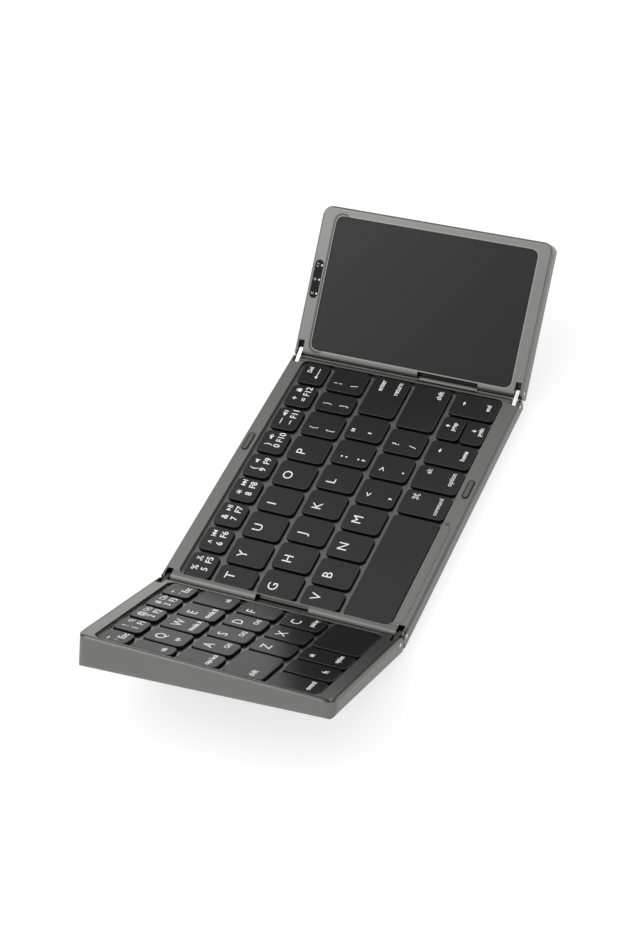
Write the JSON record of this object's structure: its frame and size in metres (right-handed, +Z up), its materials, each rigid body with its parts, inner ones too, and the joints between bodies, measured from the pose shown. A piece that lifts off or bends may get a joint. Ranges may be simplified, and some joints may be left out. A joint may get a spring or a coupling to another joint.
{
  "type": "folding keyboard",
  "caption": "Folding keyboard: a key panel and a touchpad panel fold over a middle key panel on twin-pivot links.",
  "frame": {"origin": "on the surface it stands on, under the middle of the whole object's outline as it stands half open", "axes": "+X from the left key panel to the touchpad panel, +Y from the near (space bar) edge to the far edge, +Z up from the surface"},
  "size_m": [0.2843, 0.121, 0.0639],
  "materials": {
    "deck_frame": "satin anodised dark grey",
    "touchpad_frame": "satin anodised grey",
    "lower_case": "satin metallic grey paint",
    "key_cap": "matte black with pale printed legends",
    "touchpad_cover": "fine matte",
    "steel_plate": "plain sheet",
    "hinge_steel": "bright",
    "screw_steel": "dark",
    "port_shell": "drawn sheet",
    "magnet": "plated",
    "membrane_film": "printed film",
    "dome_rubber": "translucent white",
    "scissor_plastic": "moulded",
    "circuit_board": "solder mask",
    "battery_foil": "pouch foil",
    "ribbon_film": "flexible film",
    "foot_rubber": "matt",
    "indicator_cover": "smoked",
    "indicator_leds": "diffusing"
  },
  "bodies": {
    "middle_panel": {"middle_bottom_case": "lower_case", "middle_top_frame": "deck_frame", "middle_support_plate": "steel_plate", "middle_membrane": "membrane_film", "middle_rubber_domes": "dome_rubber", "middle_scissors": "scissor_plastic", "main_board": "circuit_board", "charging_port": "port_shell", "middle_magnets": "magnet", "deck_bumpers": "foot_rubber", "middle_feet": "foot_rubber", "middle_screws": "screw_steel", "middle_hinge_pins": "hinge_steel"},
    "left_links": {"left_hinge_links": "hinge_steel", "left_ribbon_cable": "ribbon_film"},
    "left_panel": {"left_bottom_case": "lower_case", "left_top_frame": "deck_frame", "left_support_plate": "steel_plate", "left_membrane": "membrane_film", "left_rubber_domes": "dome_rubber", "left_scissors": "scissor_plastic", "left_magnets": "magnet", "left_feet": "foot_rubber", "left_screws": "screw_steel", "left_hinge_pins": "hinge_steel"},
    "right_links": {"right_hinge_links": "hinge_steel", "right_ribbon_cable": "ribbon_film"},
    "touchpad_panel": {"touchpad_bottom_case": "lower_case", "touchpad_top_frame": "touchpad_frame", "touchpad_plate": "touchpad_cover", "touchpad_board": "circuit_board", "battery": "battery_foil", "indicator_window": "indicator_cover", "indicator_lights": "indicator_leds", "touchpad_magnets": "magnet", "touchpad_feet": "foot_rubber", "touchpad_screws": "screw_steel", "touchpad_hinge_pins": "hinge_steel"},
    "number_keys": {"number_keys": "key_cap"},
    "delete_key": {"delete_key": "key_cap"},
    "upper_keys": {"upper_keys": "key_cap"},
    "home_keys": {"home_keys": "key_cap"},
    "enter_key": {"enter_key": "key_cap"},
    "lower_keys": {"lower_keys": "key_cap"},
    "right_shift_key": {"right_shift_key": "key_cap"},
    "space_bar": {"space_bar": "key_cap"},
    "right_modifier_keys": {"right_modifier_keys": "key_cap"},
    "arrow_left_key": {"arrow_left_key": "key_cap"},
    "arrow_up_key": {"arrow_up_key": "key_cap"},
    "arrow_down_key": {"arrow_down_key": "key_cap"},
    "arrow_right_key": {"arrow_right_key": "key_cap"},
    "left_number_keys": {"left_number_keys": "key_cap"},
    "tab_key": {"tab_key": "key_cap"},
    "left_upper_keys": {"left_upper_keys": "key_cap"},
    "caps_lock_key": {"caps_lock_key": "key_cap"},
    "left_home_keys": {"left_home_keys": "key_cap"},
    "left_shift_key": {"left_shift_key": "key_cap"},
    "left_lower_keys": {"left_lower_keys": "key_cap"},
    "left_modifier_keys": {"left_modifier_keys": "key_cap"},
    "left_space_key": {"left_space_key": "key_cap"}
  },
  "joints": [
    {"name": "left_link_fold", "type": "hinge", "parent": "middle_panel", "child": "left_links", "pos_m": [-0.06792, 0.00119, 0.00909], "axis": [0, 0.9985, 0.0542], "range_deg": [-14.4, 75.6]},
    {"name": "left_panel_fold", "type": "hinge", "parent": "left_links", "child": "left_panel", "pos_m": [-0.0747, 0.00109, 0.01083], "axis": [0, 0.9985, 0.0542], "range_deg": [-14.4, 75.6]},
    {"name": "right_link_fold", "type": "hinge", "parent": "middle_panel", "child": "right_links", "pos_m": [0.07548, 0.00119, 0.00909], "axis": [0, -0.9985, -0.0542], "range_deg": [-20.9, 69.1]},
    {"name": "touchpad_panel_fold", "type": "hinge", "parent": "right_links", "child": "touchpad_panel", "pos_m": [0.08202, 0.00105, 0.01158], "axis": [0, -0.9985, -0.0542], "range_deg": [-20.9, 69.1]},
    {"name": "number_keys_travel", "type": "slide", "parent": "middle_panel", "child": "number_keys", "axis": [0, 0.0542, -0.9985], "range_m": [0, 0.0012], "stiffness_N_per_m": 3200},
    {"name": "delete_key_travel", "type": "slide", "parent": "middle_panel", "child": "delete_key", "axis": [0, 0.0542, -0.9985], "range_m": [0, 0.0012], "stiffness_N_per_m": 400},
    {"name": "upper_keys_travel", "type": "slide", "parent": "middle_panel", "child": "upper_keys", "axis": [0, 0.0542, -0.9985], "range_m": [0, 0.0012], "stiffness_N_per_m": 3600},
    {"name": "home_keys_travel", "type": "slide", "parent": "middle_panel", "child": "home_keys", "axis": [0, 0.0542, -0.9985], "range_m": [0, 0.0012], "stiffness_N_per_m": 2800},
    {"name": "enter_key_travel", "type": "slide", "parent": "middle_panel", "child": "enter_key", "axis": [0, 0.0542, -0.9985], "range_m": [0, 0.0012], "stiffness_N_per_m": 400},
    {"name": "lower_keys_travel", "type": "slide", "parent": "middle_panel", "child": "lower_keys", "axis": [0, 0.0542, -0.9985], "range_m": [0, 0.0012], "stiffness_N_per_m": 2800},
    {"name": "right_shift_key_travel", "type": "slide", "parent": "middle_panel", "child": "right_shift_key", "axis": [0, 0.0542, -0.9985], "range_m": [0, 0.0012], "stiffness_N_per_m": 400},
    {"name": "space_bar_travel", "type": "slide", "parent": "middle_panel", "child": "space_bar", "axis": [0, 0.0542, -0.9985], "range_m": [0, 0.0012], "stiffness_N_per_m": 400},
    {"name": "right_modifier_keys_travel", "type": "slide", "parent": "middle_panel", "child": "right_modifier_keys", "axis": [0, 0.0542, -0.9985], "range_m": [0, 0.0012], "stiffness_N_per_m": 800},
    {"name": "arrow_left_key_travel", "type": "slide", "parent": "middle_panel", "child": "arrow_left_key", "axis": [0, 0.0542, -0.9985], "range_m": [0, 0.0012], "stiffness_N_per_m": 400},
    {"name": "arrow_up_key_travel", "type": "slide", "parent": "middle_panel", "child": "arrow_up_key", "axis": [0, 0.0542, -0.9985], "range_m": [0, 0.0012], "stiffness_N_per_m": 400},
    {"name": "arrow_down_key_travel", "type": "slide", "parent": "middle_panel", "child": "arrow_down_key", "axis": [0, 0.0542, -0.9985], "range_m": [0, 0.0012], "stiffness_N_per_m": 400},
    {"name": "arrow_right_key_travel", "type": "slide", "parent": "middle_panel", "child": "arrow_right_key", "axis": [0, 0.0542, -0.9985], "range_m": [0, 0.0012], "stiffness_N_per_m": 400},
    {"name": "left_number_keys_travel", "type": "slide", "parent": "left_panel", "child": "left_number_keys", "axis": [-0.4818, 0.0475, -0.875], "range_m": [0, 0.0012], "stiffness_N_per_m": 2000},
    {"name": "tab_key_travel", "type": "slide", "parent": "left_panel", "child": "tab_key", "axis": [-0.4818, 0.0475, -0.875], "range_m": [0, 0.0012], "stiffness_N_per_m": 400},
    {"name": "left_upper_keys_travel", "type": "slide", "parent": "left_panel", "child": "left_upper_keys", "axis": [-0.4818, 0.0475, -0.875], "range_m": [0, 0.0012], "stiffness_N_per_m": 1600},
    {"name": "caps_lock_key_travel", "type": "slide", "parent": "left_panel", "child": "caps_lock_key", "axis": [-0.4818, 0.0475, -0.875], "range_m": [0, 0.0012], "stiffness_N_per_m": 400},
    {"name": "left_home_keys_travel", "type": "slide", "parent": "left_panel", "child": "left_home_keys", "axis": [-0.4818, 0.0475, -0.875], "range_m": [0, 0.0012], "stiffness_N_per_m": 1600},
    {"name": "left_shift_key_travel", "type": "slide", "parent": "left_panel", "child": "left_shift_key", "axis": [-0.4818, 0.0475, -0.875], "range_m": [0, 0.0012], "stiffness_N_per_m": 400},
    {"name": "left_lower_keys_travel", "type": "slide", "parent": "left_panel", "child": "left_lower_keys", "axis": [-0.4818, 0.0475, -0.875], "range_m": [0, 0.0012], "stiffness_N_per_m": 1200},
    {"name": "left_modifier_keys_travel", "type": "slide", "parent": "left_panel", "child": "left_modifier_keys", "axis": [-0.4818, 0.0475, -0.875], "range_m": [0, 0.0012], "stiffness_N_per_m": 1200},
    {"name": "left_space_key_travel", "type": "slide", "parent": "left_panel", "child": "left_space_key", "axis": [-0.4818, 0.0475, -0.875], "range_m": [0, 0.0012], "stiffness_N_per_m": 400}
  ],
  "couplings": [
    {"joint": "left_panel_fold", "follows": "left_link_fold", "ratio": 1},
    {"joint": "touchpad_panel_fold", "follows": "right_link_fold", "ratio": 1}
  ]
}
